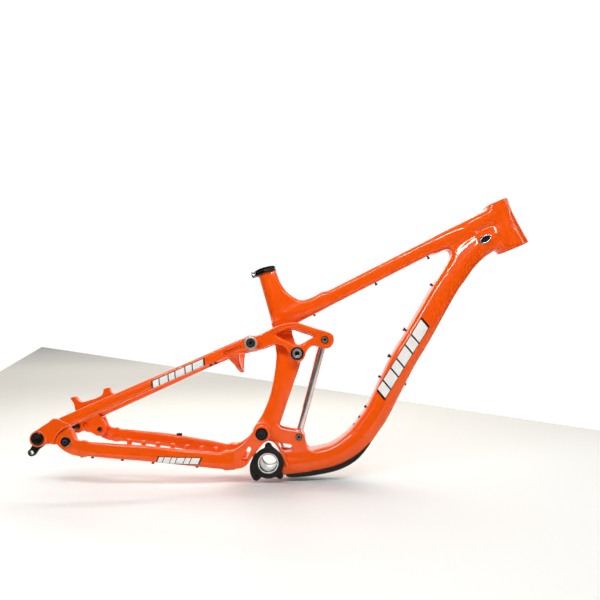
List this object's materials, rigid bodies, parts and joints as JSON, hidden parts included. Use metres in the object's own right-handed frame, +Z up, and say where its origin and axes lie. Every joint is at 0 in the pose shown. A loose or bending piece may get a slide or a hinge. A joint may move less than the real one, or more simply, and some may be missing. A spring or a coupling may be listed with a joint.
{
  "type": "bicycle frame",
  "caption": "Full-suspension mountain bike frame with a four-bar rear end, a rocker link and a transport strut in the place of the shock.",
  "frame": {"origin": "centre of the bottom bracket shell", "axes": "+X forward, +Y to the rider's left, +Z up; the drive side is -Y"},
  "size_m": [0.9919, 0.178, 0.5733],
  "materials": {
    "orange_paint": "glossy clear-coated orange paint",
    "bright_steel": "polished steel",
    "machined_alloy": "machined aluminium",
    "cream_alloy": "satin cream-coloured washer",
    "black_anodised": "black anodised, satin",
    "black_trim": "matte black moulded plastic",
    "guard_rubber": "matte black rubber"
  },
  "bodies": {
    "front_triangle": {"head_tube": "orange_paint", "seat_tube": "orange_paint", "bottom_bracket_shell": "machined_alloy", "down_tube": "orange_paint", "cable_port_right": "machined_alloy", "cable_port_left": "machined_alloy", "top_tube": "orange_paint", "seat_tube_gusset": "orange_paint", "seat_strut": "orange_paint", "shock_mount_right": "orange_paint", "shock_mount_left": "orange_paint", "main_bearing_right": "bright_steel", "main_bearing_left": "bright_steel", "rocker_bearing_right": "bright_steel", "rocker_bearing_left": "bright_steel", "shock_bolt_lower": "black_anodised", "chain_guide_mount": "black_trim", "down_tube_guard": "guard_rubber", "seat_clamp": "black_anodised", "seat_clamp_bolt": "bright_steel", "bottle_bolt_upper": "black_trim", "bottle_bolt_lower": "black_trim", "down_tube_guide_upper": "black_trim", "top_tube_guide_front": "black_trim"},
    "chainstay": {"chainstay_right": "orange_paint", "chainstay_left": "orange_paint", "horst_bearing_right": "bright_steel", "horst_bearing_left": "bright_steel", "chainstay_bridge": "orange_paint", "main_pivot_axle": "bright_steel", "main_pivot_cap_right": "black_anodised", "main_pivot_cap_left": "black_anodised", "chainstay_guard": "orange_paint", "chainstay_guide": "black_trim"},
    "seatstay": {"seatstay_right": "orange_paint", "seatstay_left": "orange_paint", "dropout_right": "orange_paint", "dropout_left": "orange_paint", "horst_bolt_right": "black_anodised", "horst_bolt_left": "black_anodised", "seatstay_bridge": "orange_paint", "brake_mount": "orange_paint", "derailleur_hanger": "black_anodised", "hanger_bolt": "black_anodised", "thru_axle": "black_anodised"},
    "rocker": {"rocker_plate_right": "orange_paint", "rocker_plate_left": "orange_paint", "rocker_axle": "bright_steel", "rocker_cap_right": "black_anodised", "rocker_cap_left": "black_anodised", "shock_bolt_upper": "black_anodised", "strut_spacer_right": "machined_alloy", "strut_spacer_left": "machined_alloy", "stay_bolt_right": "black_anodised", "stay_bolt_left": "black_anodised", "stay_washer_right": "cream_alloy", "stay_washer_left": "cream_alloy"},
    "strut_lower": {"strut_rod": "bright_steel"},
    "strut_upper": {"strut_sleeve": "bright_steel"}
  },
  "joints": [
    {"name": "main_pivot", "type": "hinge", "parent": "front_triangle", "child": "chainstay", "pos_m": [-0.0123, 0, 0.06], "axis": [0, 1, 0], "range_deg": [0, 17]},
    {"name": "horst_pivot", "type": "hinge", "parent": "chainstay", "child": "seatstay", "pos_m": [-0.3815, 0, 0.052], "axis": [0, 1, 0], "range_deg": [-9.1, 0]},
    {"name": "rocker_pivot", "type": "hinge", "parent": "front_triangle", "child": "rocker", "pos_m": [0.058, 0, 0.22], "axis": [0, 1, 0], "range_deg": [0, 42.8]},
    {"name": "strut_pivot", "type": "hinge", "parent": "front_triangle", "child": "strut_lower", "pos_m": [0.0613, 0, 0.0513], "axis": [0, 1, 0], "range_deg": [0, 6.2]},
    {"name": "strut_slide", "type": "slide", "parent": "strut_lower", "child": "strut_upper", "axis": [0.2549, 0, 0.967], "range_m": [-0.041, 0]}
  ],
  "couplings": [
    {"joint": "horst_pivot", "follows": "main_pivot", "ratio": -0.5315},
    {"joint": "rocker_pivot", "follows": "main_pivot", "ratio": 2.5102},
    {"joint": "strut_pivot", "follows": "main_pivot", "ratio": 0.3616},
    {"joint": "strut_slide", "follows": "main_pivot", "m_per_rad": -0.13732}
  ]
}
